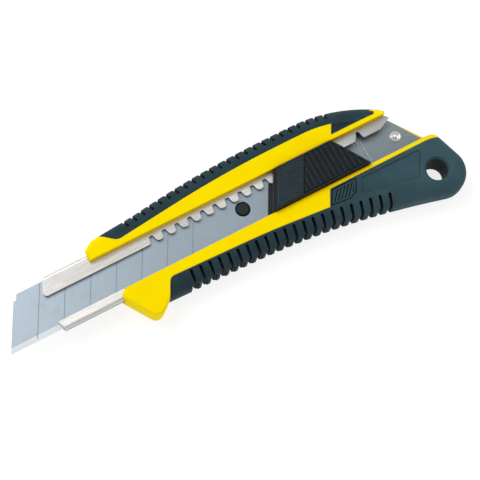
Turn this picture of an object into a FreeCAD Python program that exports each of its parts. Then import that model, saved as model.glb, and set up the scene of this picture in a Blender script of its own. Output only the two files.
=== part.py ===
"""Snap-off knife, 18 mm blade: a two-shot handle round a steel channel rail, and a blade carriage that locks in it.

X runs from the blade's point to the tail, Y from the cutting edge to the spine and Z up from the flat back.
The pieces are drawn with the blade's point at X = 0 and the blade's centreline at Y = 0, and each is then
placed so that the origin is at the middle of the underside of the whole knife.
"""

import FreeCAD, Part
import math
import os

from FreeCAD import Placement, Rotation, Vector

doc = FreeCAD.newDocument("snap_off_knife")

# ---------------------------------------------------------------- driving dimensions, in mm and degrees
DIMENSIONS = [
    ("origin_from_point", 87.0, "origin, along X from the blade's point"),
    ("origin_from_centreline", -4.85, "origin, along Y from the blade's centreline"),
    ("blade_length", 100.0, "blade, along its cutting edge"),
    ("blade_width", 18.0, "blade, edge to spine"),
    ("blade_thickness", 0.5, "blade sheet"),
    ("bevel_width", 1.9, "ground bevel at the cutting edge"),
    ("segment_pitch", 10.0, "distance between score lines"),
    ("score_count", 7, "score lines on the blade"),
    ("score_width", 0.35, "width of a score line"),
    ("score_depth", 0.12, "depth of a score line"),
    ("score_angle", 60.0, "score lines, to the cutting edge"),
    ("peg_hole_radius", 2.75, "hole in the blade's tang"),
    ("peg_from_point", 95.0, "hole in the tang, from the blade's point"),
    ("rail_front", 19.4, "front end of the rail"),
    ("rail_width", 20.0, "rail, over its side walls"),
    ("rail_height", 4.1, "rail, over floor and lips"),
    ("rail_wall", 0.8, "steel of the rail"),
    ("rail_bend", 1.2, "outer radius of the rail's bends"),
    ("rail_bottom", 5.8, "underside of the rail above the back"),
    ("spine_lip_edge", 3.25, "inner edge of the toothed lip"),
    ("edge_lip_edge", -6.4, "inner edge of the plain lip"),
    ("tooth_root", 5.9, "root of the lock teeth"),
    ("tooth_pitch", 5.0, "pitch of the lock teeth"),
    ("tooth_count", 15, "notches between lock teeth"),
    ("first_notch", 61.5, "first notch, from the blade's point"),
    ("park_notch", 144.6, "notch that holds the blade drawn in"),
    ("body_thickness", 12.6, "handle, back to face"),
    ("window_half_width", 7.1, "half width of the window over the rail"),
    ("face_round", 6.0, "round of the grips at the face"),
    ("back_round", 3.6, "round of the grips at the back"),
    ("edge_round", 0.8, "round of the hard body's edges"),
    ("grip_skin", 2.6, "elastomer over the hard core"),
    ("rib_pitch", 3.58, "pitch of the grip ribs"),
    ("rib_gap", 1.15, "gap between grip ribs"),
    ("rib_depth", 1.4, "depth of the gaps"),
    ("rib_round", 0.7, "round of the ribs at the outline"),
    ("lanyard_radius", 3.9, "lanyard hole"),
    ("lanyard_x", 162.5, "lanyard hole, from the blade's point"),
    ("lanyard_y", -19.5, "lanyard hole, from the blade's centreline"),
    ("tail_radius", 9.0, "round end of the tail"),
    ("tail_x", 165.0, "centre of the tail's round end"),
    ("tail_y", -20.0, "centre of the tail's round end"),
    ("rivet_x", 157.2, "rail rivet"),
    ("rivet_y", -0.9, "rail rivet"),
    ("rivet_radius", 2.1, "rim of the rail rivet"),
    ("plate_thickness", 1.4, "carrier plate under the blade"),
    ("peg_radius", 2.3, "peg through the blade"),
    ("slider_half_width", 6.85, "half width of the slider"),
    ("slider_front", 106.7, "front of the slider on the centreline"),
    ("slider_ledge", 0.9, "ledge at the front of the slider"),
    ("pad_front", 108.3, "front of the thumb pad on the centreline"),
    ("pad_end", 118.3, "back of the thumb pad on the centreline"),
    ("slider_back", 137.9, "back of the slider on the centreline"),
    ("slider_back_angle", 122.3, "back of the slider, to the edge side"),
    ("slider_bottom", 10.8, "underside of the slider's cover"),
    ("cover_top", 14.5, "top of the slider's cover"),
    ("button_top", 15.0, "top of the button's ribs"),
    ("button_bottom", 12.6, "underside of the button at rest"),
    ("button_travel", 1.3, "travel of the button"),
    ("button_rib_pitch", 2.0, "pitch of the button's ribs"),
    ("nose_travel", 2.6, "travel of the lock spring's nose"),
    ("nose_x", 121.5, "nose of the lock spring at rest, in a notch"),
    ("strip", 0.3, "steel of the lock spring"),
]

sheet = doc.addObject("Spreadsheet::Sheet", "dims")
for row, (alias, value, note) in enumerate(DIMENSIONS, 1):
    sheet.set(f"A{row}", note)
    sheet.set(f"B{row}", str(value))
    sheet.setAlias(f"B{row}", alias)
doc.recompute()

# heights that follow from the sheet, as expressions
FLOOR_TOP = "dims.rail_bottom + dims.rail_wall"
LIP_TOP = "dims.rail_bottom + dims.rail_height"
LIP_BOTTOM = f"{LIP_TOP} - dims.rail_wall"
FIT = 0.1  # sliding clearance of the carrier and the rail
PLATE_BOTTOM = f"{FLOOR_TOP} + {FIT}"
BLADE_BOTTOM = f"{PLATE_BOTTOM} + dims.plate_thickness"
BLADE_TOP = f"{BLADE_BOTTOM} + dims.blade_thickness"


def size(alias):
    """A driving dimension, read from the sheet."""
    return float(sheet.get(alias))


def height(expression):
    """The value of one of the height expressions above."""
    return float(sheet.evalExpression(expression))


# ---------------------------------------------------------------- outlines
def direction(degrees):
    """Unit vector in the plan, measured from +X towards +Y."""
    return Vector(math.cos(math.radians(degrees)), math.sin(math.radians(degrees)), 0)


def on_slant(x_at_centreline, y, degrees):
    """Point at height y on a slanted line that crosses the centreline at x_at_centreline."""
    return (x_at_centreline + y / math.tan(math.radians(degrees)), y)


def rounded_outline(corners):
    """Closed outline through corners (x, y) or (x, y, radius), with an arc at each corner that has a radius."""
    points = [Vector(c[0], c[1], 0) for c in corners]
    radii = [c[2] if len(c) > 2 else 0 for c in corners]
    count = len(corners)
    starts, ends, arcs = [], [], []
    for i, (corner, radius) in enumerate(zip(points, radii)):
        before = (points[i - 1] - corner).normalize()
        after = (points[(i + 1) % count] - corner).normalize()
        if not radius:
            starts.append(corner)
            ends.append(corner)
            arcs.append(None)
            continue
        half_angle = before.getAngle(after) / 2
        reach = radius / math.tan(half_angle)
        middle = (before + after).normalize() * (radius / math.sin(half_angle) - radius)
        starts.append(corner + before * reach)
        ends.append(corner + after * reach)
        arcs.append(Part.Arc(starts[-1], corner + middle, ends[-1]))
    edges = []
    for i in range(count):
        if arcs[i]:
            edges.append(arcs[i])
        if ends[i].distanceToPoint(starts[(i + 1) % count]) > 1e-6:
            edges.append(Part.LineSegment(ends[i], starts[(i + 1) % count]))
    return edges


def round_end_corner(centre, radius, way_in, way_out):
    """Corner whose round of this radius is centred on centre, between two directions of travel (anticlockwise)."""
    first = Vector(way_in.y, -way_in.x, 0)
    second = Vector(way_out.y, -way_out.x, 0)
    corner = centre + (first + second) * (radius / (1 + first.dot(second)))
    return (corner.x, corner.y, radius)


def moved_in(corners, inset):
    """Corners of a convex anticlockwise outline, moved in by inset."""
    count = len(corners)
    result = []
    for i, corner in enumerate(corners):
        here = Vector(corner[0], corner[1], 0)
        before, after = (Vector(corners[j % count][0], corners[j % count][1], 0) for j in (i - 1, i + 1))
        way_in, way_out = (here - before).normalize(), (after - here).normalize()
        first, last = Vector(-way_in.y, way_in.x, 0), Vector(-way_out.y, way_out.x, 0)
        point = here + (first + last) * (inset / (1 + first.dot(last)))
        result.append((point.x, point.y) + tuple(max(radius - inset, 0.1) for radius in corner[2:]))
    return result


# ---------------------------------------------------------------- building blocks
def origin_plane(body, role):
    """One of a body's own origin planes."""
    return next(f for f in body.Origin.OriginFeatures if f.Role == role)


def add_sketch(body, name, edges, role="XY_Plane", level="0"):
    """Sketch on a body's origin plane, moved along the plane's normal by the expression level."""
    sketch = body.newObject("Sketcher::SketchObject", name)
    sketch.AttachmentSupport = [(origin_plane(body, role), "")]
    sketch.MapMode = "FlatFace"
    sketch.setExpression("AttachmentOffset.Base.z", level)
    sketch.addGeometry(edges, False)
    return sketch


def add_pad(body, name, edges, bottom, top, role="XY_Plane"):
    """Pad of an outline between two levels, each an expression."""
    pad = body.newObject("PartDesign::Pad", name)
    pad.Profile = add_sketch(body, f"{name}_outline", edges, role, bottom)
    pad.setExpression("Length", f"({top}) - ({bottom})")
    doc.recompute()
    return pad


def add_pocket(body, name, edges, top, depth):
    """Pocket of an outline, cut down from the level top by depth."""
    before = body.Shape.Volume
    pocket = body.newObject("PartDesign::Pocket", name)
    pocket.Profile = add_sketch(body, f"{name}_outline", edges, level=top)
    pocket.setExpression("Length", depth)
    doc.recompute()
    if body.Shape.Volume >= before - 1e-6:
        raise RuntimeError(f"{name} cuts nothing")
    return pocket


def add_pattern(body, pocket, pitch, count):
    """Repeats a pocket along X."""
    before = body.Shape.Volume
    pattern = body.newObject("PartDesign::LinearPattern", f"{pocket.Name}_row")
    pattern.Originals = [pocket]
    pattern.Direction = (origin_plane(body, "X_Axis"), [""])
    pattern.setExpression("Occurrences", count)
    pattern.setExpression("Length", f"({pitch}) * ({count} - 1)")
    body.Tip = pattern
    doc.recompute()
    if body.Shape.Volume >= before - 1e-6:
        raise RuntimeError(f"{pattern.Name} cuts nothing")
    return pattern


def add_round(body, name, radius, wanted):
    """Fillet of those edges of a body's last feature that wanted(edge) picks."""
    base = body.Tip
    names = [f"Edge{i}" for i, edge in enumerate(base.Shape.Edges, 1) if wanted(edge)]
    if not names:
        raise RuntimeError(f"{name} finds no edge")
    fillet = body.newObject("PartDesign::Fillet", name)
    fillet.Base = (base, names)
    fillet.setExpression("Radius", radius)
    doc.recompute()
    return fillet


def add_chamfer(body, name, width, wanted):
    """Chamfer of those edges of a body's last feature that wanted(edge) picks."""
    base = body.Tip
    chamfer = body.newObject("PartDesign::Chamfer", name)
    chamfer.Base = (base, [f"Edge{i}" for i, edge in enumerate(base.Shape.Edges, 1) if wanted(edge)])
    chamfer.Size = width
    doc.recompute()
    return chamfer


def new_body(name):
    return doc.addObject("PartDesign::Body", name)


def prism(name, edges, bottom="-1", top="dims.body_thickness + 1"):
    """Straight-sided body over an outline, by default right through the handle."""
    body = new_body(name)
    add_pad(body, f"{name}_pad", edges, bottom, top)
    return body


def cylinder(name, x, y, radius, bottom, top):
    """Upright cylinder, its place and sizes given as expressions."""
    solid = doc.addObject("Part::Cylinder", name)
    solid.setExpression("Radius", radius)
    solid.setExpression("Height", f"({top}) - ({bottom})")
    solid.setExpression("Placement.Base.x", x)
    solid.setExpression("Placement.Base.y", y)
    solid.setExpression("Placement.Base.z", bottom)
    return solid


def box(name, x_range, y_range, z_range):
    """Box between pairs of expressions."""
    solid = doc.addObject("Part::Box", name)
    for side, axis, (low, high) in zip(("Length", "Width", "Height"), "xyz", (x_range, y_range, z_range)):
        solid.setExpression(side, f"({high}) - ({low})")
        solid.setExpression(f"Placement.Base.{axis}", str(low))
    return solid


def cut(name, base, tool):
    result = doc.addObject("Part::Cut", name)
    result.Base = base
    result.Tool = tool
    return result


def common(name, base, tool):
    result = doc.addObject("Part::Common", name)
    result.Base = base
    result.Tool = tool
    return result


def fuse(name, pieces):
    result = doc.addObject("Part::MultiFuse", name)
    result.Shapes = pieces
    return result


# ---------------------------------------------------------------- outline of the handle
FAR = 40.0  # well outside the handle
SPINE_SLOPE = 0.13  # rise of the spine side behind the nose
SPINE_CREST = 19.3  # highest line of the spine side
EDGE_SLOPE = -0.27  # fall of the edge side towards the tail
CREST_START = 87.5
CREST_END = 141.6
CREST_FALL = 0.6
TAIL_BACK = direction(108.4)  # the tail's rear side, going up


def spine_side(inset, start, end):
    """Corners of the spine side, from the tail to the nose, moved in by inset."""
    crest = SPINE_CREST - inset
    return [
        (end, crest - (end - CREST_END) * CREST_FALL),
        (CREST_END, crest, 60 - inset),
        (CREST_START, crest, 386 - inset),
        (start, crest - (CREST_START - start) * SPINE_SLOPE),
    ]


def edge_side(inset, start, end_y):
    """Corners of the edge side and the tail, from the nose round to the tail's rear side, moved in by inset."""
    centre = Vector(size("tail_x"), size("tail_y"), 0)
    along_bottom = Vector(1, EDGE_SLOPE, 0).normalize()
    tail = round_end_corner(centre, size("tail_radius") - inset, along_bottom, TAIL_BACK)
    climb = (end_y - tail[1]) / TAIL_BACK.y
    return [
        (start, -16.4 + inset),
        (126.6, -18.9 + inset, 310 + inset),
        tail,
        (tail[0] + TAIL_BACK.x * climb, end_y),
    ]


NOSE = [(41.9, 13.3, 2.5), (38.5, 11.1, 1.8)]  # corners of the nose
NOSE_END = 43.5
WIDENING_END = 64.0  # from the end of the nose to here, the rounds of the spine side grow
NOSE_ROUNDS = (2.2, 1.5)  # rounds of the nose, face and back


def handle_outline():
    """Outline of the hard body: nose, guard, edge side, tail, slanted rear cut and spine side."""
    finger_guard = [(38.5, 7.0), (44.3, -7.1), (42.1, -8.9, 1.5), (50.3, -22.0, 3.0), (57.3, -16.6, 2.0)]
    rear_cut = [(167.4, -7.2), (158.3, 5.6), (156.2, 7.0), (157.6, 9.1, 1.3)]
    edge = edge_side(0, 0, -8.3)
    spine = spine_side(0, 0, 0)
    return rounded_outline(finger_guard + edge[1:3] + [edge[3] + (1.5,)] + rear_cut + spine[1:3] + NOSE)


def is_level(edge, level):
    return all(abs(v.Z - level) < 1e-6 for v in edge.Vertexes)


def outer_round(*levels):
    """Picks the level edges of the handle that aren't on its slanted rear cut or its mouth under the rail."""
    def wanted(edge):
        box_of_edge = edge.BoundBox
        on_cut = box_of_edge.YMin < 0 < box_of_edge.YMax and box_of_edge.YLength > 12
        return any(is_level(edge, level) for level in levels) and not on_cut
    return wanted


def grip_form(name, edges, inset, is_outer, nose_end=0.0):
    """Solid with the grips' round outer surface, moved in by inset. Its rounds grow behind the nose."""
    block = new_body(f"{name}_block")
    add_pad(block, f"{name}_pad", edges, str(inset), f"dims.body_thickness - {inset}")
    rounds = []
    for level, full_size, nose_round in (
        (size("body_thickness") - inset, "face_round", NOSE_ROUNDS[0]), (inset, "back_round", NOSE_ROUNDS[1])
    ):
        full, small = size(full_size) - inset, max(nose_round - 0.8 * inset, 0.3)
        for i, edge in enumerate(block.Shape.Edges, 1):
            if not (is_level(edge, level) and is_outer(edge)):
                continue
            x = edge.CenterOfMass.x
            first = small if x < nose_end else full
            last = small if x < nose_end or nose_end and x < WIDENING_END else full
            rounds.append((i, first, last))
    form = doc.addObject("Part::Fillet", name)
    form.Base = block
    form.Edges = rounds
    doc.recompute()
    return form


SPINE_FORM = [(38.5, 0), (170, 0)] + spine_side(0, 40, 170)[:3] + NOSE


def spine_form(name, inset):
    """Form of the spine side with its nose."""
    return grip_form(name, rounded_outline(moved_in(SPINE_FORM, inset)), inset,
                     lambda e: e.CenterOfMass.y > inset + 0.01 and e.CenterOfMass.x < 169 - inset, NOSE_END)


def edge_form(name, inset, start=52):
    """Form of the edge side's grip and the tail, from a place along X round to the tail's rear side."""
    outline = rounded_outline([(start, 0)] + edge_side(inset, start, 0))
    return grip_form(name, outline, inset, lambda e: e.CenterOfMass.y < -0.01 and e.BoundBox.XLength > 0.01)


# ---------------------------------------------------------------- where the elastomer is
STRIP_SPINE = 8.75  # hard strip beside the window, spine side
STRIP_EDGE = -8.45  # and edge side
step_slope = 1 / math.tan(math.radians(size("score_angle")))
spine_step = (137.2, 12.3)
spine_step_foot = (spine_step[0] - (spine_step[1] - STRIP_SPINE) * step_slope, STRIP_SPINE)
edge_step = (121.5, -14.25)
edge_step_top = (edge_step[0] + (STRIP_EDGE - edge_step[1]) * step_slope, STRIP_EDGE)

spine_region = prism("spine_region", rounded_outline([
    (43.4, FAR), (44.4, 14.2), (50.3, 9.15, 3.5), (94.5, 13.7, 400), (131.0, 13.7, 45),
    spine_step, spine_step_foot, (152.9, STRIP_SPINE, 0.4), (154.9, 12.2), (154.9, FAR),
]))
edge_region = prism("edge_region", rounded_outline([
    (55.2, -FAR - 5), (56.2, -17.6), (60.0, -10.7, 2.6), (98.0, -12.1, 300), edge_step, edge_step_top,
    (164.0, STRIP_EDGE), (190.0, STRIP_EDGE - 2.2), (190.0, -FAR - 5),
]))

spine_outer = spine_form("spine_outer", 0)
edge_outer = edge_form("edge_outer", 0)

# the hard body keeps a core inside each grip, a gap round the lanyard hole's sleeve and a jacket round the rail
skin = size("grip_skin")
spine_core = grip_form("spine_core", rounded_outline([(58, 0), (158, 0)] + spine_side(skin, 58, 158)), skin,
                       lambda e: e.CenterOfMass.y > 0.01 and e.BoundBox.XLength > 0.01)
edge_core_blank = edge_form("edge_core_blank", skin, 62)
lanyard_sleeve = cylinder("lanyard_sleeve", "dims.lanyard_x", "dims.lanyard_y", "dims.lanyard_radius + 1.6",
                          "0", "dims.body_thickness")
edge_core = cut("edge_core", edge_core_blank, lanyard_sleeve)
JACKET = 0.9
jacket = box("rail_jacket", ("30", f"167.5 + {JACKET}"),
             (f"-dims.rail_width / 2 - {JACKET}", f"dims.rail_width / 2 + {JACKET}"),
             (f"dims.rail_bottom - {JACKET}", f"{LIP_TOP} + {JACKET}"))
spine_elastomer = cut("spine_elastomer", spine_region, fuse("spine_hard_inside", [spine_core, jacket]))
edge_elastomer = cut("edge_elastomer", edge_region, fuse("edge_hard_inside", [edge_core, jacket]))

# ---------------------------------------------------------------- lanyard hole, bevelled at both faces
HOLE_BEVEL = 0.8


def lanyard_cutter():
    bore = cylinder("lanyard_bore", "dims.lanyard_x", "dims.lanyard_y", "dims.lanyard_radius",
                    "-1", "dims.body_thickness + 1")
    straight, wide = "dims.lanyard_radius", f"dims.lanyard_radius + {HOLE_BEVEL}"
    bevels = []
    for name, level, low_radius, high_radius in (
        ("lanyard_back", "0", wide, straight),
        ("lanyard_face", f"dims.body_thickness - {HOLE_BEVEL}", straight, wide),
    ):
        bevel = doc.addObject("Part::Cone", name)
        bevel.setExpression("Radius1", low_radius)
        bevel.setExpression("Radius2", high_radius)
        bevel.Height = HOLE_BEVEL
        bevel.setExpression("Placement.Base.x", "dims.lanyard_x")
        bevel.setExpression("Placement.Base.y", "dims.lanyard_y")
        bevel.setExpression("Placement.Base.z", level)
        bevels.append(bevel)
    return fuse("lanyard_cutter", [bore] + bevels)


RIVET_SHANK = "dims.rivet_radius * 0.6"
RIVET_FOOT = "2.4"


# ---------------------------------------------------------------- ribs of the grips
def gap_blade(reach):
    """Upright blade that cuts one gap: a mouth between two rounded ribs, then a slot with a round inner end."""
    half, round_off = size("rib_gap") / 2, size("rib_round")
    mouth, end = half + round_off, reach - half
    bulge = round_off * (1 - math.sqrt(0.5))
    edges = []
    for side in (1, -1):
        edges.append(Part.Arc(Vector(side * mouth, 0, 0), Vector(side * (half + bulge), bulge, 0),
                              Vector(side * half, round_off, 0)).toShape())
        edges.append(Part.LineSegment(Vector(side * half, round_off, 0), Vector(side * half, end, 0)).toShape())
        edges.append(Part.LineSegment(Vector(side * mouth, 0, 0), Vector(side * mouth, -1, 0)).toShape())
    edges.append(Part.Arc(Vector(half, end, 0), Vector(0, reach, 0), Vector(-half, end, 0)).toShape())
    edges.append(Part.LineSegment(Vector(mouth, -1, 0), Vector(-mouth, -1, 0)).toShape())
    outline = Part.Wire(Part.__sortEdges__(edges))
    return Part.Face(outline).extrude(Vector(0, 0, size("body_thickness") + 2))


def rib_gaps(name, corners, count, reach):
    """Blades that cut the gaps between ribs, square to an open outline, reaching this far in from it."""
    path = Part.Wire([edge.toShape() for edge in rounded_outline(corners)[:-1]])
    points = path.discretize(Distance=size("rib_pitch"))[:count + 1]
    blades = []
    for here, ahead in zip(points, points[1:]):
        along = ahead - here
        turn = math.degrees(math.atan2(along.y, along.x))
        if here.y > 0:
            turn += 180  # the blade points inwards, down from the spine side and up from the edge side
        blade = gap_blade(reach)
        blade.Placement = Placement(Vector(here.x, here.y, -1), Rotation(Vector(0, 0, 1), turn))
        blades.append(blade)
    tool = doc.addObject("Part::Feature", name)
    tool.Shape = Part.makeCompound(blades)
    return tool


def grooves(name, centre, length, width, pitch, count, turn, floor):
    """Upright blades side by side about a centre, turned in the plan, that cut grooves down to floor."""
    blades = []
    for i in range(count):
        across = (i - (count - 1) / 2) * pitch - width / 2
        blade = Part.makeBox(length, width, size("body_thickness"), Vector(-length / 2, across, 0))
        blade.Placement = Placement(Vector(*centre, floor), Rotation(Vector(0, 0, 1), turn))
        blades.append(blade)
    tool = doc.addObject("Part::Feature", name)
    tool.Shape = Part.makeCompound(blades)
    return tool


def knurled(name, base, inside, centre, sizes, turn, floor):
    """Base with two crossing sets of grooves inside an outline."""
    for i in (0, 1):
        blades = grooves(f"{name}_blades_{i}", centre, *sizes, turn - 90 * i, floor)
        tool = common(f"{name}_grooves_{i}", inside, blades)
        base = cut(f"{name}_knurl_{i}" if i == 0 else name, base, tool)
    return base


# ---------------------------------------------------------------- handle pieces
SPINE_PATCH = [(135.6, 9.1), (145.6, 9.1), (141.9, 10.5, 5), (137.5, 11.9)]
EDGE_PATCH = [(121.9, -14.1), (129.6, -15.0, 2.4), (132.9, -13.6, 2.4), (135.3, -8.9), (125.2, -8.9)]
LABEL_PANEL = [(133.9, -15.4, 1), (155.4, -19.2, 1), (161.0, -10.2, 1), (136.8, -9.9, 1)]
PATCH_DEPTH = 0.35
SLAT_ANGLE = 48.0
RIM = 0.45  # groove and rim round the edge side's patch


def make_spine_grip():
    blank = common("spine_grip_blank", spine_outer, spine_elastomer)
    side = spine_side(0, 55.5, 160)
    blades = rib_gaps("spine_gap_blades", side[::-1], 24, 3.4)
    gaps = cut("spine_gaps", blades, spine_form("spine_gap_floor", size("rib_depth")))
    ribbed = cut("spine_grip_ribbed", blank, gaps)
    patch = prism("spine_patch", rounded_outline(SPINE_PATCH), f"dims.body_thickness - {PATCH_DEPTH / 2}")
    recessed = cut("spine_grip_recessed", ribbed, patch)
    floor = size("body_thickness") - PATCH_DEPTH
    inside = prism("spine_patch_inside", rounded_outline(moved_in(SPINE_PATCH, 0.25)), str(floor))
    return knurled("spine_grip", recessed, inside, (140.5, 10.2), (14, 0.35, 0.8, 15), 20, floor)


def make_edge_grip():
    blank = common("edge_grip_blank", edge_outer, edge_elastomer)
    path = [(67.2, -16.05)] + edge_side(0, 52, 0)[1:3]
    blades = rib_gaps("edge_gap_blades", path, 22, 4.6)
    gaps = cut("edge_gaps", blades, edge_form("edge_gap_floor", size("rib_depth")))
    ribbed = cut("edge_grip_ribbed", blank, gaps)
    pierced = cut("edge_grip_pierced", ribbed, lanyard_cutter())
    label = prism("label_panel", rounded_outline(LABEL_PANEL), "dims.body_thickness - 0.25")
    paneled = cut("edge_grip_paneled", pierced, label)
    floor = f"dims.body_thickness - {PATCH_DEPTH}"
    outer = prism("edge_patch_outer", rounded_outline(EDGE_PATCH), floor)
    inner = prism("edge_patch_inner", rounded_outline(moved_in(EDGE_PATCH, RIM)), floor)
    rimmed = cut("edge_grip_rimmed", paneled, cut("edge_patch_ring", outer, inner))
    inside = prism("edge_patch_inside", rounded_outline(moved_in(EDGE_PATCH, 2 * RIM)), floor)
    slots = grooves("edge_patch_slots", (128.5, -11.6), 14, 0.45, 1.1, 15, SLAT_ANGLE, height(floor))
    return cut("edge_grip", rimmed, common("edge_patch_grooves", inside, slots))


def make_housing():
    shell = new_body("shell")
    add_pad(shell, "shell_pad", handle_outline(), "0", "dims.body_thickness")
    add_round(shell, "shell_round", "dims.edge_round", outer_round(0, size("body_thickness")))
    middle = box("shell_middle", ("30", "161"), (f"-{FAR}", "7.05"), ("-1", "dims.body_thickness + 1"))
    rounded = common("shell_flush", shell, fuse("shell_limits", [spine_outer, edge_outer, middle]))
    slack = 0.05
    half_slot = f"dims.rail_width / 2 + {slack}"
    window = box("window", ("30", "180"), ("-dims.window_half_width", "dims.window_half_width"),
                 (LIP_TOP, "dims.body_thickness + 1"))
    slot = box("rail_slot", ("30", "167.5"), (f"-({half_slot})", half_slot),
               (f"dims.rail_bottom - {slack}", f"{LIP_TOP} + {slack}"))
    guard_relief = box("guard_relief", ("30", "57"), ("-30", "-8.6"), ("-1", "4.4"))
    undercut = new_body("nose_undercut")
    slope = rounded_outline([(30, -1), (43.8, -1), (38.3, 11.2), (30, 11.2)])
    add_pad(undercut, "nose_undercut_pad", slope, f"-{FAR}", f"{FAR}", "XZ_Plane")
    rivet_hole = cylinder("rivet_hole", "dims.rivet_x", "dims.rivet_y", RIVET_SHANK, RIVET_FOOT,
                          "dims.body_thickness")
    openings = fuse("housing_openings", [window, slot, guard_relief, undercut, rivet_hole])
    bare = cut("housing_bare", cut("housing_open", rounded, openings), spine_elastomer)
    return cut("housing", bare, edge_elastomer)


def make_rail():
    rail = new_body("blade_rail")
    half, wall = size("rail_width") / 2, size("rail_wall")
    bottom, top = size("rail_bottom"), height(LIP_TOP)
    spine_edge, plain_edge = size("spine_lip_edge"), size("edge_lip_edge")
    bend = size("rail_bend")
    inner_bend = bend - wall
    section = rounded_outline([
        (-half, bottom, bend), (half, bottom, bend), (half, top, bend), (spine_edge, top), (spine_edge, top - wall),
        (half - wall, top - wall, inner_bend), (half - wall, bottom + wall, inner_bend),
        (wall - half, bottom + wall, inner_bend), (wall - half, top - wall, inner_bend),
        (plain_edge, top - wall), (plain_edge, top), (-half, top, bend),
    ])
    add_pad(rail, "rail_section", section, "dims.rail_front", "dims.rail_front + 150", "YZ_Plane")
    front, through, above = size("rail_front"), "dims.rail_height + 1", f"{LIP_TOP} + 0.5"
    spine_corner = [(front - 1, 4.9), (front, 4.9), (front + 2.7, 10.5), (front - 1, 10.5)]
    edge_corner = [(front - 1, -7.0), (front - 1, -10.5), (front + 1.4, -10.5), (front, -7.0)]
    rear_end = [(166.9, -10.5), (180, -10.5), (180, 10.5), (154.6, 10.5), (155.2, 7.6), (156.7, 6.8, 1.0),
                (157.8, 5.6), (166.9, -8.4)]
    for name, corners in (("spine_corner", spine_corner), ("edge_corner", edge_corner), ("rear_end", rear_end)):
        add_pocket(rail, name, rounded_outline(corners), above, through)
    rear_lip = [(152.4, 3.0), (152.8, spine_edge), (157.8, 5.6), (161, 5.6), (161, 3.0)]
    add_pocket(rail, "rear_lip", rounded_outline(rear_lip), above, LIP_CUT)
    root, x = size("tooth_root"), size("first_notch")
    gap = [(x - 2.4, spine_edge - 0.5), (x + 2.4, spine_edge - 0.5), (x + 2.4, spine_edge), (x + 1.5, spine_edge, 1.2),
           (x + 0.75, root, 0.5), (x - 0.7, root, 0.55), (x - 1.2, spine_edge, 0.9), (x - 2.4, spine_edge)]
    notch = add_pocket(rail, "lock_notch", rounded_outline(gap), above, LIP_CUT)
    add_pattern(rail, notch, "dims.tooth_pitch", "dims.tooth_count")
    add_park_notch(rail, above)
    shank = [Part.Circle(Vector(size("rivet_x"), size("rivet_y"), 0), Vector(0, 0, 1), height(RIVET_SHANK))]
    add_pocket(rail, "rivet_seat", shank, FLOOR_TOP, "dims.rail_wall + 0.5")
    add_round(rail, "lip_corner", "1.2", lambda e: is_upright_at(e, front, spine_edge))
    return rail


LIP_CUT = "dims.rail_wall + 0.6"  # through a lip, not the floor


def add_park_notch(rail, above):
    """The last notch, and the two lines stamped across the floor below it."""
    park, root, lip_edge = size("park_notch"), size("tooth_root") + 0.25, size("spine_lip_edge")
    add_pocket(rail, "park_notch", rounded_outline([
        (park - 3.0, lip_edge - 0.5), (park + 3.0, lip_edge - 0.5), (park + 3.0, lip_edge),
        (park + 1.3, lip_edge, 0.8), (park + 0.6, root, 0.45), (park - 0.55, root, 0.4),
        (park - 0.9, 4.9, 0.4), (park - 2.3, lip_edge, 0.6), (park - 3.0, lip_edge)]), above, LIP_CUT)
    for i, (x, lean) in enumerate(((park - 0.9, 1.4), (park + 0.3, 0.5))):
        line = [(x, -9), (x + 0.3, -9), (x + 0.3 - lean, 9), (x - lean, 9)]
        add_pocket(rail, f"floor_line_{i}", rounded_outline(line), FLOOR_TOP, "0.15")


def is_upright_at(edge, x, y):
    near = all(math.hypot(v.X - x, v.Y - y) < 1e-3 for v in edge.Vertexes)
    return near and edge.BoundBox.ZLength > 0.1


def make_rivet():
    """Rivet with a raised rim and a domed middle, turned about its own axis."""
    rivet = new_body("rail_rivet")
    floor, foot, shank, rim = height(FLOOR_TOP), height(RIVET_FOOT), height(RIVET_SHANK), size("rivet_radius")
    seat = floor + 0.1  # ground between rim and dome
    dome, crown = 1.15, seat + 0.85
    rim_top, rim_flat = floor + 0.45, (rim - 0.15, rim - 0.45)
    ball = (dome**2 + (crown - seat)**2) / (2 * (crown - seat))
    halfway = math.asin(dome / ball) / 2
    corners = [(0, foot), (shank, foot), (shank, floor), (rim, floor), (rim_flat[0], rim_top),
               (rim_flat[1], rim_top), (rim - 0.65, seat), (dome, seat), (0, crown)]
    points = [Vector(x, y, 0) for x, y in corners]
    outline = [Part.LineSegment(a, b) for a, b in zip(points[:-2], points[1:-1])]
    on_dome = Vector(ball * math.sin(halfway), crown - ball * (1 - math.cos(halfway)), 0)
    outline.append(Part.Arc(points[-2], on_dome, points[-1]))
    outline.append(Part.LineSegment(points[-1], points[0]))
    turned = rivet.newObject("PartDesign::Revolution", "rivet_turned")
    turned.Profile = add_sketch(rivet, "rivet_outline", outline, "XZ_Plane")
    turned.ReferenceAxis = (origin_plane(rivet, "Z_Axis"), [""])
    turned.Angle = 360
    doc.recompute()
    return rivet


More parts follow.
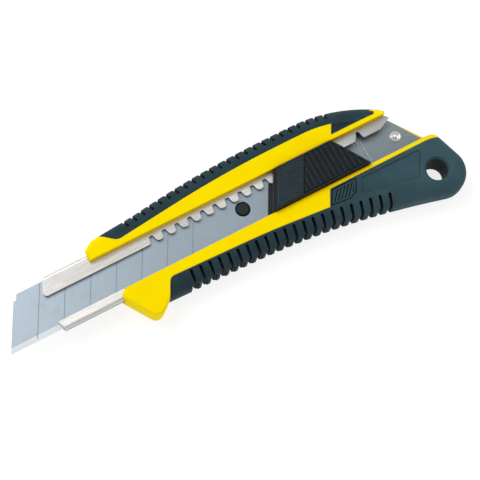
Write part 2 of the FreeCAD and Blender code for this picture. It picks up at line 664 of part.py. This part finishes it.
# ---------------------------------------------------------------- blade
def make_blade():
    blade = new_body("blade")
    half, thick = size("blade_width") / 2, size("blade_thickness")
    low, top = height(BLADE_BOTTOM), height(BLADE_TOP)
    bevel = size("bevel_width")
    section = rounded_outline([
        (half, low), (half, top), (bevel - half, top),
        (-half, low + thick * 0.55), (-half, low + thick * 0.45), (bevel - half, low)])
    add_pad(blade, "blade_section", section, "-1", "dims.blade_length + 13", "YZ_Plane")
    slope = 1 / math.tan(math.radians(size("score_angle")))
    above, through = f"{BLADE_TOP} + 1", "dims.blade_thickness + 2"

    def on_score(x, y):
        """Point at height y on the score line that starts at x on the cutting edge."""
        return (x + (y + half) * slope, y)

    low_end, high_end = -half - 1, half + 1  # just off both sides of the blade
    shoulder, step = 7.1, 1.0  # the last segment broke off past the end of its score line
    add_pocket(blade, "point_end", rounded_outline([
        (-5, low_end), on_score(0, low_end), on_score(0, shoulder), on_score(step, shoulder),
        on_score(step, high_end), (-5, high_end)]), above, through)
    length = size("blade_length")
    add_pocket(blade, "tang_end", rounded_outline([
        on_score(length, low_end), (length + 30, low_end), (length + 30, high_end), on_score(length, high_end)]),
        above, through)
    hole = [Part.Circle(Vector(size("peg_from_point"), 0, 0), Vector(0, 0, 1), size("peg_hole_radius"))]
    add_pocket(blade, "peg_hole", hole, above, through)
    x, line = size("segment_pitch"), size("score_width") / 2
    score = add_pocket(blade, "score_line", rounded_outline([
        on_score(x - line, low_end), on_score(x + line, low_end),
        on_score(x + line, high_end), on_score(x - line, high_end)]), BLADE_TOP, "dims.score_depth")
    add_pattern(blade, score, "dims.segment_pitch", "dims.score_count")
    return blade


# ---------------------------------------------------------------- blade carriage
def slanted_block(front, back, half_low, half_high, back_angle=None):
    """Outline between a front parallel to the score lines and a back, square or at back_angle."""
    angle = size("score_angle")
    back_low = (back, half_low) if back_angle is None else on_slant(back, half_low, back_angle)
    back_high = (back, half_high) if back_angle is None else on_slant(back, half_high, back_angle)
    return rounded_outline([on_slant(front, half_low, angle), back_low, back_high, on_slant(front, half_high, angle)])


WELL_LOW, WELL_HIGH = 119.2, 123.6  # the cam's well along X
WELL_FAR = -4.3  # and its far wall
STRIP_WELL = -2.0  # far wall of the well along the lock spring
ANCHOR = 132.2  # front of the block that holds the lock spring
SPRING_END = 134.4
SPRING_Y = 1.2  # the lock spring's strip at rest
CAM_BACK, CAM_LOW = -1.4, 1.6  # ends of the cam's slope
CAM_HEIGHT = 11.7  # the slope on the centreline
CAM_GAP = 0.06  # between the slope and the button's wedge


def make_carrier():
    carrier = new_body("blade_carrier")
    half = size("rail_width") / 2 - size("rail_wall") - FIT
    tang = size("blade_length") + size("blade_width") / 2 / math.tan(math.radians(size("score_angle")))
    plate_end = 131.5
    neck_bottom, flange_bottom = f"{LIP_BOTTOM} - {FIT}", f"{LIP_TOP} + 0.3"
    add_pad(carrier, "carrier_plate", slanted_block(88, plate_end, -half, half), PLATE_BOTTOM, BLADE_BOTTOM)
    add_chamfer(carrier, "plate_bevel", 0.3, lambda e: is_level(e, height(PLATE_BOTTOM)))
    stop_half = half - 0.2  # clear of the rail's bends
    stop = slanted_block(tang + 0.15, plate_end, -stop_half, stop_half)
    add_pad(carrier, "tang_stop", stop, BLADE_BOTTOM, neck_bottom)
    lip_gap = 0.4
    low, high = size("edge_lip_edge") + lip_gap, size("spine_lip_edge") - lip_gap
    front, back, angles = tang + 0.8, 136.0, (size("score_angle"), size("slider_back_angle"))
    add_pad(carrier, "carrier_neck", rounded_outline([
        on_slant(front, low, angles[0]), on_slant(back, low, angles[1]), on_slant(back, high, angles[1]),
        (ANCHOR, high), (ANCHOR, STRIP_WELL), (WELL_HIGH, STRIP_WELL), (WELL_HIGH, WELL_FAR), (WELL_LOW, WELL_FAR),
        (WELL_LOW, high), on_slant(front, high, angles[0])]), neck_bottom, flange_bottom)
    wide = size("slider_half_width")
    flange = slanted_block(size("slider_front"), size("slider_back"), -wide, wide, size("slider_back_angle"))
    add_pad(carrier, "carrier_flange", flange, flange_bottom, "dims.slider_bottom")
    peg = [Part.Circle(Vector(size("peg_from_point"), 0, 0), Vector(0, 0, 1), size("peg_radius"))]
    peg_top = f"{BLADE_TOP} + 0.7"
    add_pad(carrier, "carrier_peg", peg, BLADE_BOTTOM, peg_top)
    add_chamfer(carrier, "peg_bevel", 0.45, lambda e: is_level(e, height(peg_top)))
    cam_hole = [(WELL_LOW, WELL_FAR), (WELL_HIGH, WELL_FAR), (WELL_HIGH, CAM_LOW + 0.3), (WELL_LOW, CAM_LOW + 0.3)]
    flange_depth = f"dims.slider_bottom - ({flange_bottom})"
    add_pocket(carrier, "cam_hole", rounded_outline(cam_hole), "dims.slider_bottom", flange_depth)
    side, slit_end = size("strip") / 2 + 0.03, SPRING_END + 0.1
    slit = [(ANCHOR - 0.5, SPRING_Y - side), (slit_end, SPRING_Y - side), (slit_end, SPRING_Y + side),
            (ANCHOR - 0.5, SPRING_Y + side)]
    add_pocket(carrier, "spring_slit", rounded_outline(slit), flange_bottom, f"({flange_bottom}) - ({neck_bottom})")
    return carrier


def cam_level(y):
    """Height of the cam's slope, which moves the nose twice as far as the button."""
    return CAM_HEIGHT - y * size("button_travel") / size("nose_travel")


def ribbon(points, thickness):
    """Outline of a strip of this thickness bent along a route."""
    route = [Vector(x, y, 0) for x, y in points]
    left, right = [], []
    for i, here in enumerate(route):
        stretch = route[max(i - 1, 0):i + 2]
        ways = [(after - before).normalize() for before, after in zip(stretch, stretch[1:])]
        first, last = (Vector(-way.y, way.x, 0) for way in (ways[0], ways[-1]))
        offset = (first + last) * (thickness / 2 / (1 + first.dot(last)))
        left.append(here + offset)
        right.append(here - offset)
    return rounded_outline([(p.x, p.y) for p in right + left[::-1]])


def make_lock_spring():
    """Steel leaf held at its rear end, with a folded nose for the rail's notches and a cam for the button."""
    spring = new_body("lock_spring")
    x, strip, tip = size("nose_x"), size("strip"), size("tooth_root") - 0.5
    low, top, strip_top = f"{LIP_BOTTOM} + 0.05", f"{LIP_TOP} - 0.05", f"{LIP_TOP} + 0.2"
    fold = [(1.7, SPRING_Y), (0.8, 2.4), (0.35, tip), (-0.35, tip), (-0.8, 2.4), (-1.6, SPRING_Y), (-1.9, SPRING_Y)]
    nose = ribbon([(SPRING_END, SPRING_Y)] + [(x + along, y) for along, y in fold], strip)
    add_pad(spring, "spring_nose", nose, low, top)
    leaf_strip = ribbon([(SPRING_END, SPRING_Y), (x + 1.8, SPRING_Y)], strip)
    add_pad(spring, "spring_leaf", leaf_strip, low, strip_top)
    bridge = ribbon([(x - 1.9, SPRING_Y), (x + 1.9, SPRING_Y)], strip)
    add_pad(spring, "cam_bridge", bridge, f"{LIP_TOP} - 0.4", "dims.slider_bottom - 0.1")
    foot = height(f"{LIP_TOP} + 0.1")
    cam = [(CAM_BACK, foot), (CAM_LOW, foot), (CAM_LOW, cam_level(CAM_LOW)), (CAM_BACK, cam_level(CAM_BACK))]
    add_pad(spring, "spring_cam", rounded_outline(cam), "dims.nose_x - 1", "dims.nose_x + 1", "YZ_Plane")
    return spring


def leaf(feet, crown, thickness):
    """Outline of an arched leaf spring standing on two feet, its crown between them."""
    (x1, low), (x2, _) = feet
    middle = (x1 + x2) / 2
    return [
        Part.Arc(Vector(x1, low, 0), Vector(middle, crown - thickness, 0), Vector(x2, low, 0)),
        Part.LineSegment(Vector(x2, low, 0), Vector(x2, low + thickness, 0)),
        Part.Arc(Vector(x2, low + thickness, 0), Vector(middle, crown, 0), Vector(x1, low + thickness, 0)),
        Part.LineSegment(Vector(x1, low + thickness, 0), Vector(x1, low, 0)),
    ]


def make_button_spring():
    spring = new_body("button_spring")
    low, sheet_steel = size("slider_bottom"), 0.25
    arch = leaf([(125.5, low), (134.5, low)], size("button_bottom"), sheet_steel)
    add_pad(spring, "button_leaf", arch, "-2", "2", "XZ_Plane")
    return spring


WELL_SIDE = 6.2  # half width of the button's well
WELL_FRONT = 118.9
WELL_BACK = 136.9
BUTTON_GAP = 0.25
HOOK = 0.8  # the button's hooks reach this far under the cover
HOOK_TOP = 13.2
PAD_SIDE = 6.0
PAD_SEAT = 0.7  # depth of the thumb pad's recess


def well_outline(grow, side_grow):
    """Outline of the button's well in the cover, grown along the slider and across it."""
    side = WELL_SIDE + side_grow
    return slanted_block(WELL_FRONT - grow, WELL_BACK + grow, -side, side, size("slider_back_angle"))


def make_cover():
    cover = new_body("cover_blank")
    wide, ledge_top = size("slider_half_width"), "dims.cover_top - 1.6"
    back, back_angle = size("slider_back"), size("slider_back_angle")
    base = slanted_block(size("slider_front"), back, -wide, wide, back_angle)
    add_pad(cover, "cover_base", base, "dims.slider_bottom", ledge_top)
    upper = slanted_block(size("slider_front") + size("slider_ledge"), back, -wide, wide, back_angle)
    add_pad(cover, "cover_upper", upper, ledge_top, "dims.cover_top")
    add_chamfer(cover, "cover_bevel", 0.45, lambda e: is_level(e, size("cover_top")))
    add_pocket(cover, "pad_recess", pad_outline(0), "dims.cover_top", str(PAD_SEAT))
    add_pocket(cover, "button_well", well_outline(0, 0), "dims.cover_top", "dims.cover_top - dims.slider_bottom + 1")
    hooks = prism("hook_room", well_outline(HOOK + 0.1, 0), "dims.slider_bottom - 1", str(HOOK_TOP + 0.2))
    return cut("slider_cover", cover, hooks)


def pad_outline(inset):
    """Outline of the thumb pad, framed by the cover."""
    side, angle = PAD_SIDE - inset, size("score_angle")
    front, back = size("pad_front") + inset, size("pad_end") - inset
    return rounded_outline([on_slant(front, -side, angle), on_slant(back, -side, angle),
                            on_slant(back, side, angle), on_slant(front, side, angle)])


def make_thumb_pad():
    """Pad with a knurl of two crossing sets of fine grooves."""
    bottom, top = f"dims.cover_top - {PAD_SEAT}", "dims.cover_top - 0.05"
    blank = prism("thumb_pad_blank", pad_outline(0.15), bottom, top)
    centre, floor = ((size("pad_front") + size("pad_end")) / 2, 0), height(top) - 0.3
    inside = prism("pad_inside", pad_outline(0.4), str(floor), "dims.cover_top + 1")
    return knurled("thumb_pad", blank, inside, centre, (20, 0.38, 0.84, 21), size("score_angle"), floor)


def make_button():
    button = new_body("thumb_button")
    bottom = "dims.button_bottom"
    add_pad(button, "button_block", well_outline(-BUTTON_GAP, -BUTTON_GAP), bottom, "dims.button_top")
    add_pad(button, "button_hooks", well_outline(HOOK - BUTTON_GAP, -BUTTON_GAP), bottom, str(HOOK_TOP))
    x, room, room_height = size("nose_x"), 1.3, 1.3
    relief = rounded_outline([(x - room, -4.6), (x + room, -4.6), (x + room, 1.1), (x - room, 1.1)])
    cam_room = button.newObject("PartDesign::Pocket", "cam_room")
    cam_room.Profile = add_sketch(button, "cam_room_outline", relief, level=bottom)
    cam_room.Length = room_height
    cam_room.Reversed = True
    doc.recompute()
    wedge_back, wedge_front, roof = -1.3, 0.9, size("button_bottom") + room_height
    wedge = rounded_outline([
        (wedge_back, cam_level(wedge_back) + CAM_GAP), (wedge_front, cam_level(wedge_front) + CAM_GAP),
        (wedge_front, roof), (wedge_back, roof)])
    add_pad(button, "button_wedge", wedge, "dims.nose_x - 1", "dims.nose_x + 1", "YZ_Plane")
    first, valley = 116.6, 1.4  # first valley between the button's ribs
    groove = add_pocket(button, "button_groove", rounded_outline([
        (first, -7), (first + valley, -7), (first + valley, 7), (first, 7)]), "dims.button_top", "0.75")
    add_pattern(button, groove, "dims.button_rib_pitch", "13")
    return button


# ---------------------------------------------------------------- assembly
makers = [
    ("housing", make_housing), ("spine_grip", make_spine_grip), ("edge_grip", make_edge_grip),
    ("blade_rail", make_rail), ("rail_rivet", make_rivet), ("blade", make_blade), ("blade_carrier", make_carrier),
    ("lock_spring", make_lock_spring), ("slider_cover", make_cover), ("thumb_pad", make_thumb_pad),
    ("thumb_button", make_button), ("button_spring", make_button_spring),
]
pieces = []
for label, make in makers:
    piece = make()
    piece.Label = label
    pieces.append(piece)
doc.recompute()

for piece in pieces:
    extra_x = " + dims.rivet_x" if piece.Label == "rail_rivet" else ""
    extra_y = " + dims.rivet_y" if piece.Label == "rail_rivet" else ""
    piece.setExpression("Placement.Base.x", f"-dims.origin_from_point{extra_x}")
    piece.setExpression("Placement.Base.y", f"-dims.origin_from_centreline{extra_y}")
doc.recompute()

for thing in doc.Objects:
    if {"Invalid", "Error"} & set(thing.State):
        raise RuntimeError(f"{thing.Label}: {thing.State}")
for piece in pieces:
    if piece.Shape.isNull() or not piece.Shape.isValid():
        raise RuntimeError(f"{piece.Label} has no valid shape")

os.makedirs("parts", exist_ok=True)
for piece in pieces:
    piece.Shape.exportStep(f"parts/{piece.Label}.step")
    extent = piece.Shape.optimalBoundingBox(False)
    print(f"{piece.Label:15s} {piece.Shape.Volume:9.1f} mm3 solids {len(piece.Shape.Solids)} "
          f"x {extent.XMin:7.2f} {extent.XMax:7.2f} y {extent.YMin:7.2f} {extent.YMax:7.2f} "
          f"z {extent.ZMin:6.2f} {extent.ZMax:6.2f}")
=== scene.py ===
"""Looks of the snap-off knife: a material for every piece, softened edges, a pale floor, light and the camera.

Everything is in metres, in the frame of the CAD model: X from the blade's point to the tail, Y from the cutting
edge to the spine, Z up from the handle's flat back.
"""

import math

import bpy
from mathutils import Matrix, Vector


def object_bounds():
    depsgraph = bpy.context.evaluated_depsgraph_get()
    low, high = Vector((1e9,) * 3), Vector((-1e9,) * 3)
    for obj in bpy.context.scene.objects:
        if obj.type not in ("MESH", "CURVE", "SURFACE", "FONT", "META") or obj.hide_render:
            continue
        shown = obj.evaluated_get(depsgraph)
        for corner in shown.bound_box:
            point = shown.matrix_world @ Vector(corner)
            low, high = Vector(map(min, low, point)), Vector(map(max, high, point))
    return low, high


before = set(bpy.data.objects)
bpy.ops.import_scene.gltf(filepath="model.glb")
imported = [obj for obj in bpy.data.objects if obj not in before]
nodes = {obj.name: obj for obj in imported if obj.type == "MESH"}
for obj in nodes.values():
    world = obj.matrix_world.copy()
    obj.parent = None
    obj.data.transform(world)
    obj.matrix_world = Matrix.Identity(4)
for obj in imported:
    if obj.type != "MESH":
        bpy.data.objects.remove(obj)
cad_low, cad_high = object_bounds()
MM = 0.001


def span(name, axis):
    """Lowest and highest place of a piece along an axis, in millimetres."""
    places = [corner["XYZ".index(axis)] / MM for corner in nodes[name].bound_box]
    return min(places), max(places)


# places where a colour changes, in millimetres
BLADE_POINT = span("blade", "X")[0]
BLADE_EDGE, BLADE_SPINE = span("blade", "Y")
BLADE_FACE = span("blade", "Z")[1]
RAIL_REAR = span("blade_rail", "X")[1]
RAIL_TOP = span("blade_rail", "Z")[1]
TAIL_END = span("edge_grip", "X")[1]
BARE_BLADE, COVERED_BLADE = BLADE_POINT + 17, BLADE_POINT + 67  # bright at the point, with painted shade in the rail
SCORE_TOP, SCORE_FLOOR = BLADE_FACE - 0.04, BLADE_FACE - 0.1  # painted shade: the score lines' floors are painted darker than the face
LIP_LEVEL, FLOOR_LEVEL = RAIL_TOP - 0.3, RAIL_TOP - 1.1  # painted shade: the rail's floor below its lips is painted darker and bluish
BRIGHT_LIPS, SHADED_LIPS = RAIL_REAR - 60, RAIL_REAR - 12  # and painted shade makes the lips darker towards the tail
DARK_GRIP, LIT_GRIP = TAIL_END - 67, TAIL_END - 17  # painted light makes the edge side's grip paler towards the tail

# ---------------------------------------------------------------- camera, at the angle of the photograph
CAMERA_TARGET = Vector((1.53, -4.58, 9.0)) * MM
CAMERA_DISTANCE = 746.4 * MM
CAMERA_AZIMUTH = math.radians(-48.63)
CAMERA_ELEVATION = math.radians(71.71)
CAMERA_ROLL = math.radians(20.28)
CAMERA_LENS = 161.93


def add_camera():
    data = bpy.data.cameras.new("camera")
    data.sensor_width = 36.0
    data.lens = CAMERA_LENS
    camera = bpy.data.objects.new("camera", data)
    level = math.cos(CAMERA_ELEVATION)
    height = math.sin(CAMERA_ELEVATION)
    away = Vector((math.sin(CAMERA_AZIMUTH) * level, -math.cos(CAMERA_AZIMUTH) * level, height))
    facing = (-away).to_track_quat("-Z", "Y").to_matrix().to_4x4()
    camera.matrix_world = (
        Matrix.Translation(CAMERA_TARGET + away * CAMERA_DISTANCE)
        @ facing
        @ Matrix.Rotation(CAMERA_ROLL, 4, "Z")
    )
    bpy.context.scene.collection.objects.link(camera)
    bpy.context.scene.camera = camera


# ---------------------------------------------------------------- materials
def srgb(red, green, blue):
    """Scene-linear colour of an 8-bit sRGB one."""
    def linear(value):
        share = value / 255
        return share / 12.92 if share <= 0.04045 else ((share + 0.055) / 1.055) ** 2.4
    return (linear(red), linear(green), linear(blue), 1.0)


class Surface:
    """A material coloured, roughened and embossed by procedural nodes, in the object's own coordinates."""

    def __init__(self, name, **values):
        self.material = bpy.data.materials.new(name)
        self.material.use_nodes = True
        self.tree = self.material.node_tree
        self.shader = self.tree.nodes["Principled BSDF"]
        for socket, value in values.items():
            self.shader.inputs[socket.replace("_", " ")].default_value = value
        self.place = self.add("ShaderNodeTexCoord").outputs["Object"]
        self.soft_normal = None

    def add(self, kind, settings=(), **inputs):
        """A node with these settings; an input given as a socket is linked, any other is set."""
        node = self.tree.nodes.new(kind)
        for setting, value in dict(settings).items():
            setattr(node, setting, value)
        for socket, value in inputs.items():
            self.put(node.inputs[socket.replace("_", " ")], value)
        return node

    def put(self, socket, value):
        if isinstance(value, bpy.types.NodeSocket):
            self.tree.links.new(value, socket)
        else:
            socket.default_value = value

    def stretched(self, x, y, z):
        """The object's coordinates, stretched along each axis."""
        mapping = self.add("ShaderNodeMapping", Vector=self.place)
        mapping.inputs["Scale"].default_value = (x, y, z)
        return mapping.outputs["Vector"]

    def noise(self, size, detail=4.0, roughness=0.5, place=None):
        """Noise whose features are about this many millimetres across."""
        scale = 1 / (size * MM)
        node = self.add("ShaderNodeTexNoise", Vector=place or self.place, Scale=scale, Detail=detail)
        node.inputs["Roughness"].default_value = roughness
        return node.outputs["Fac"]

    def remap(self, value, low, high, to_low=0.0, to_high=1.0):
        """The range from low to high stretched to the one from to_low to to_high, and held at its ends."""
        node = self.add("ShaderNodeMapRange", Value=value)
        for socket, number in zip(("From Min", "From Max", "To Min", "To Max"), (low, high, to_low, to_high)):
            node.inputs[socket].default_value = number
        return node.outputs["Result"]

    def math(self, operation, first, second):
        """Result of an arithmetic operation on two values."""
        node = self.add("ShaderNodeMath", {"operation": operation})
        self.put(node.inputs[0], first)
        self.put(node.inputs[1], second)
        return node.outputs["Value"]

    def mix(self, share, first, second):
        """Colour between first and second."""
        node = self.add("ShaderNodeMix", {"data_type": "RGBA"})
        self.put(node.inputs["Factor"], share)
        self.put(node.inputs["A"], first)
        self.put(node.inputs["B"], second)
        return node.outputs["Result"]

    def normal_part(self, axis):
        """How far the surface faces along an axis, from -1 to 1."""
        normal = self.add("ShaderNodeTexCoord").outputs["Normal"]
        return self.add("ShaderNodeSeparateXYZ", Vector=normal).outputs[axis]

    def edges(self, radius):
        """0 on flat ground, towards 1 on an edge rounded to this radius in millimetres."""
        bevel = self.add("ShaderNodeBevel", {"samples": 4}, Radius=radius * MM)
        geometry = self.add("ShaderNodeNewGeometry")
        along = self.add("ShaderNodeVectorMath", {"operation": "DOT_PRODUCT"})
        self.put(along.inputs[0], bevel.outputs["Normal"])
        self.put(along.inputs[1], geometry.outputs["Normal"])
        return self.remap(along.outputs["Value"], 1.0, 0.82)

    def shade(self, reach):
        """0 in the open, towards 1 in gaps and corners within this many millimetres."""
        node = self.add("ShaderNodeAmbientOcclusion", {"samples": 4}, Distance=reach * MM)
        return self.remap(node.outputs["AO"], 0.85, 0.25)

    def along(self, axis, start, end):
        """0 at the place start in millimetres along an axis, towards 1 at end."""
        place = self.add("ShaderNodeSeparateXYZ", Vector=self.place).outputs[axis]
        return self.remap(place, start * MM, end * MM)

    def soften(self, radius):
        """Shades every edge as if rounded to this radius in millimetres."""
        bevel = self.add("ShaderNodeBevel", {"samples": 4}, Radius=radius * MM)
        self.soft_normal = bevel.outputs["Normal"]
        self.put(self.shader.inputs["Normal"], self.soft_normal)

    def colour(self, value):
        self.put(self.shader.inputs["Base Color"], value)

    def roughness(self, value):
        self.put(self.shader.inputs["Roughness"], value)

    def relief(self, value, depth):
        """Bump from a height between 0 and 1, this many millimetres deep."""
        bump = self.add("ShaderNodeBump", Height=value, Distance=depth * MM, Strength=1.0)
        if self.soft_normal:
            self.put(bump.inputs["Normal"], self.soft_normal)
        self.put(self.shader.inputs["Normal"], bump.outputs["Normal"])


def body_plastic():
    """Yellow nylon with faint flow marks and fine scuffs, a painted highlight on its edges, and warm painted
    shade low down, beside other parts and in its gaps.
    """
    m = Surface("yellow_plastic", Specular_IOR_Level=0.01)
    m.soften(0.6)
    tint = m.mix(m.remap(m.noise(9.0, 3.0), 0.35, 0.65), srgb(255, 224, 0), srgb(255, 229, 1))
    # painted highlight: rounded edges lightened to a paler yellow
    painted_edge_highlight = m.mix(m.math("MULTIPLY", m.edges(0.3), 0.25), tint, srgb(255, 236, 70))
    # painted shade: warmer orange low down near the floor and beside other parts
    low = m.mix(m.math("MULTIPLY", m.shade(9.0), 0.7), painted_edge_highlight, srgb(236, 172, 0))
    # painted shade: deeper orange in gaps and corners
    m.colour(m.mix(m.shade(1.5), low, srgb(232, 150, 0)))
    m.roughness(m.remap(m.noise(1.4), 0.3, 0.7, 0.34, 0.5))
    m.relief(m.noise(0.35, 2.0), 0.01)
    return m.material


def grip_elastomer():
    """Matt dark elastomer with a fine moulded grain, a painted highlight on its edges, painted shade low down
    and in its gaps, and painted light that makes the edge side's grip paler towards the tail.
    """
    m = Surface("dark_elastomer", Specular_IOR_Level=0.05)
    m.soften(0.3)
    front = m.mix(m.remap(m.noise(6.0), 0.3, 0.7), srgb(37, 56, 62), srgb(45, 65, 72))
    # painted light: a lit, paler copy of the front's tone, used towards the tail on the edge side
    tail = m.mix(m.remap(m.noise(6.0), 0.3, 0.7), srgb(55, 80, 88), srgb(61, 88, 97))
    painted_tail_light = m.math("MULTIPLY", m.along("X", DARK_GRIP, LIT_GRIP), m.along("Y", BLADE_SPINE, BLADE_EDGE))
    base = m.mix(painted_tail_light, front, tail)
    # painted highlight: edges lightened
    painted_edge_highlight = m.mix(m.math("MULTIPLY", m.edges(0.3), 0.45), base, srgb(104, 128, 136))
    # painted shade: much darker low down near the floor and beside other parts
    low = m.mix(m.math("MULTIPLY", m.shade(11.0), 0.9), painted_edge_highlight, srgb(12, 19, 22))
    # painted shade: near black in gaps and corners
    m.colour(m.mix(m.shade(1.2), low, srgb(8, 12, 14)))
    m.roughness(m.remap(m.noise(0.8), 0.3, 0.7, 0.5, 0.68))
    m.relief(m.noise(0.22, 3.0, 0.6), 0.02)
    return m.material


def nylon(name, low, high, edge, edge_highlight_share):
    """Black glass-filled nylon with a satin grain, between the tints low and high, with a painted highlight on
    its edges and painted shade in its gaps.
    """
    m = Surface(name, Specular_IOR_Level=0.25)
    m.soften(0.2)
    base = m.mix(m.remap(m.noise(5.0), 0.3, 0.7), srgb(*low), srgb(*high))
    # painted highlight: edges lightened towards the edge tint
    painted_edge_highlight = m.mix(m.math("MULTIPLY", m.edges(0.2), edge_highlight_share), base, srgb(*edge))
    # painted shade: near black in gaps and corners
    m.colour(m.mix(m.shade(1.0), painted_edge_highlight, srgb(5, 8, 9)))
    m.roughness(m.remap(m.noise(0.6), 0.3, 0.7, 0.4, 0.56))
    m.relief(m.noise(0.18, 2.0), 0.012)
    return m.material


def slider_plastic():
    return nylon("black_nylon", (17, 25, 29), (24, 34, 38), (88, 108, 110), 0.6)


def pad_plastic():
    return nylon("grey_black_nylon", (42, 60, 66), (50, 70, 77), (88, 110, 118), 0.3)


def carrier_plastic():
    return nylon("carrier_nylon", (24, 32, 37), (33, 43, 48), (104, 122, 130), 0.45)


def rail_steel():
    """Stainless strip, brushed along its length, with a painted highlight on its edges, painted shade on its
    bluish floor, and painted shade that darkens its lips towards the tail.
    """
    m = Surface("brushed_stainless", Metallic=1.0, Anisotropic=0.3)
    m.soften(0.3)
    lines = m.noise(0.12, 5.0, 0.65, m.stretched(0.02, 1.0, 1.0))
    lips = m.mix(m.remap(lines, 0.3, 0.7), srgb(204, 202, 198), srgb(250, 248, 244))
    # painted shade: darker, bluish tone for the floor below the lips
    floor = m.mix(m.remap(lines, 0.3, 0.7), srgb(140, 154, 161), srgb(166, 178, 184))
    # painted shade: the lips darken towards the tail
    painted_rear_shade = m.math("MULTIPLY", m.along("X", BRIGHT_LIPS, SHADED_LIPS), 0.7)
    lips = m.mix(painted_rear_shade, lips, srgb(176, 182, 183))
    base = m.mix(m.along("Z", LIP_LEVEL, FLOOR_LEVEL), lips, floor)
    # painted highlight: edges lightened towards white
    m.colour(m.mix(m.math("MULTIPLY", m.edges(0.3), 0.9), base, srgb(255, 255, 255)))
    m.roughness(m.remap(lines, 0.3, 0.7, 0.3, 0.46))
    m.relief(lines, 0.004)
    return m.material


def blade_steel():
    """Grey carbon steel, surface-ground, with a paler, less metallic ground bevel that is partly its own ground
    finish and partly a painted highlight, painted shade in the score lines and painted shade inside the rail.
    """
    m = Surface("blade_steel", Metallic=1.0)
    lines = m.noise(0.2, 5.0, 0.6, m.stretched(1.0, 0.05, 1.0))
    point = m.mix(m.remap(lines, 0.25, 0.75), srgb(170, 183, 194), srgb(184, 196, 206))
    # painted shade: darker where the blade runs inside the rail
    painted_rail_shade = m.math("MULTIPLY", m.along("X", BARE_BLADE, COVERED_BLADE), 0.7)
    base = m.mix(painted_rail_shade, point, srgb(157, 172, 184))
    spots = m.remap(m.noise(3.5, 5.0), 0.56, 0.74)
    stained = m.mix(m.math("MULTIPLY", spots, 0.3), base, srgb(150, 160, 168))
    level = m.remap(m.normal_part("Z"), 0.993, 0.999)  # 1 on the flat faces, 0 on the slanting bevel
    # pale ground bevel: partly its own ground finish, partly a painted highlight
    ground = m.mix(level, srgb(238, 242, 246), stained)
    # painted shade: the score lines' floors are painted darker
    painted_score_shade = m.math("MULTIPLY", m.along("Z", SCORE_TOP, SCORE_FLOOR), level)
    m.colour(m.mix(painted_score_shade, ground, srgb(140, 150, 160)))
    # the bevel is made less metallic, which brightens it as part of the painted highlight
    m.put(m.shader.inputs["Metallic"], m.remap(level, 0.0, 1.0, 0.35, 1.0))
    m.roughness(m.remap(lines, 0.3, 0.7, 0.34, 0.44))
    m.relief(lines, 0.002)
    return m.material


def rivet_steel():
    """Nickel-plated rivet, smooth with a slightly uneven shine."""
    m = Surface("plated_steel", Metallic=1.0)
    m.soften(0.2)
    m.colour(m.mix(m.remap(m.noise(1.5), 0.3, 0.7), srgb(236, 238, 238), srgb(246, 246, 244)))
    m.roughness(m.remap(m.noise(0.7), 0.3, 0.7, 0.2, 0.24))
    return m.material


def spring_steel():
    """Tempered strip with straw and blue tints."""
    m = Surface("tempered_steel", Metallic=1.0)
    m.colour(m.mix(m.remap(m.noise(3.0), 0.35, 0.65), srgb(132, 132, 138), srgb(166, 156, 138)))
    m.roughness(m.remap(m.noise(0.5), 0.3, 0.7, 0.28, 0.42))
    m.relief(m.noise(0.2, 2.0), 0.006)
    return m.material


# ---------------------------------------------------------------- which piece is made of what
FINISHES = [
    (body_plastic, ["housing"]),
    (grip_elastomer, ["spine_grip", "edge_grip"]),
    (rail_steel, ["blade_rail"]),
    (rivet_steel, ["rail_rivet"]),
    (blade_steel, ["blade"]),
    (carrier_plastic, ["blade_carrier"]),
    (slider_plastic, ["slider_cover", "thumb_button"]),
    (pad_plastic, ["thumb_pad"]),
    (spring_steel, ["lock_spring", "button_spring"]),
]


def dress():
    for make, names in FINISHES:
        surface = make()
        for name in names:
            piece = nodes[name]
            piece.data.materials.clear()
            piece.data.materials.append(surface)


# ---------------------------------------------------------------- floor and light
TABLE_SIZE = 4.0
TABLE_GAP = 0.02 * MM  # just clear of the handle's back


def add_floor():
    bpy.ops.mesh.primitive_plane_add(size=TABLE_SIZE, location=(0, 0, cad_low[2] - TABLE_GAP))
    floor = bpy.context.object
    floor.name = "floor"
    m = Surface("pale_table", Roughness=0.9, Specular_IOR_Level=0.2, Emission_Strength=0.8)
    m.shader.inputs["Emission Color"].default_value = (1.0, 1.0, 1.0, 1.0)
    m.colour(m.mix(m.remap(m.noise(40.0), 0.3, 0.7), srgb(142, 142, 142), srgb(148, 148, 148)))
    floor.data.materials.append(m.material)


def add_light(name, place, size, power):
    """Square soft box that faces the middle of the knife."""
    data = bpy.data.lights.new(name, "AREA")
    data.shape = "SQUARE"
    data.size = size
    data.energy = power
    light = bpy.data.objects.new(name, data)
    light.location = place
    light.rotation_mode = "QUATERNION"
    light.rotation_quaternion = (CAMERA_TARGET - Vector(place)).to_track_quat("-Z", "Y")
    bpy.context.scene.collection.objects.link(light)


def add_world(strength):
    world = bpy.data.worlds.new("studio")
    world.use_nodes = True
    background = world.node_tree.nodes["Background"]
    background.inputs["Color"].default_value = (1.0, 1.0, 1.0, 1.0)
    background.inputs["Strength"].default_value = strength
    bpy.context.scene.world = world


add_camera()
dress()
add_floor()
add_light("key", place=(-0.35, 0.75, 1.1), size=0.9, power=10.0)
add_light("fill", place=(0.9, -0.5, 0.8), size=0.8, power=1.5)
add_world(strength=0.54)
bpy.context.scene.view_settings.view_transform = "Standard"
